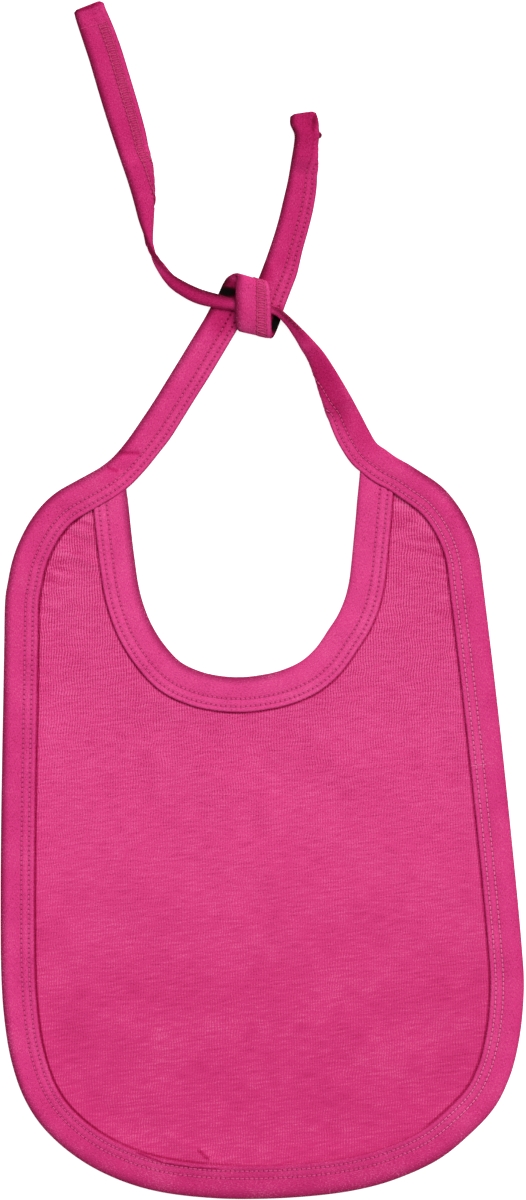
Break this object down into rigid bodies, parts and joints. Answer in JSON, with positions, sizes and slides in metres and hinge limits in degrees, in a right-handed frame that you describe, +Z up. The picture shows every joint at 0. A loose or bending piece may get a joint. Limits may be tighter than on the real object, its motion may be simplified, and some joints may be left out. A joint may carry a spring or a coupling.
{
  "type": "baby bib",
  "caption": "Soft jersey baby bib with a taped edge and neck, its shoulder straps knotted once into a loop with two free ties.",
  "frame": {"origin": "middle of the whole bib's plan box, on the surface it lies on", "axes": "+Z up out of the bib's face, +Y from the bottom edge towards the ties, +X to the right when looking down on the face"},
  "size_m": [0.2252, 0.5155, 0.006],
  "materials": {
    "panel_jersey": "magenta cotton single jersey, matt",
    "tape_jersey": "magenta folded cotton jersey tape, matt",
    "sewing_thread": "magenta spun polyester sewing thread, low sheen"
  },
  "bodies": {
    "bib": {"front_panel": "panel_jersey", "back_panel": "panel_jersey", "neck_binding": "tape_jersey", "edge_binding": "tape_jersey", "neck_outer_row_thread": "sewing_thread", "neck_inner_row_thread": "sewing_thread", "neck_looper_thread": "sewing_thread", "edge_outer_row_thread": "sewing_thread", "edge_inner_row_thread": "sewing_thread", "edge_looper_thread": "sewing_thread", "tape_join_thread": "sewing_thread"},
    "neck_loop": {"left_strap": "tape_jersey", "right_strap": "tape_jersey", "knot_wrap": "tape_jersey", "left_strap_row_threads": "sewing_thread", "right_strap_row_threads": "sewing_thread", "knot_looper_thread": "sewing_thread"},
    "long_tie_end": {"left_tie": "tape_jersey", "left_tie_looper_thread": "sewing_thread", "left_tie_hem_thread": "sewing_thread"},
    "short_tie_end": {"right_tie": "tape_jersey", "right_tie_row_threads": "sewing_thread", "right_tie_hem_thread": "sewing_thread"}
  },
  "joints": [
    {"name": "neck_loop_lift", "type": "hinge", "parent": "bib", "child": "neck_loop", "pos_m": [0, 0.056, 0.0041], "axis": [1, 0, 0], "range_deg": [0, 110]},
    {"name": "long_tie_lift", "type": "hinge", "parent": "neck_loop", "child": "long_tie_end", "pos_m": [-0.0255, 0.1302, 0.0037], "axis": [0, 1, 0], "range_deg": [0, 120]},
    {"name": "short_tie_lift", "type": "hinge", "parent": "neck_loop", "child": "short_tie_end", "pos_m": [0.0081, 0.14292, 0.0021], "axis": [1, 0, 0], "range_deg": [0, 120]}
  ]
}
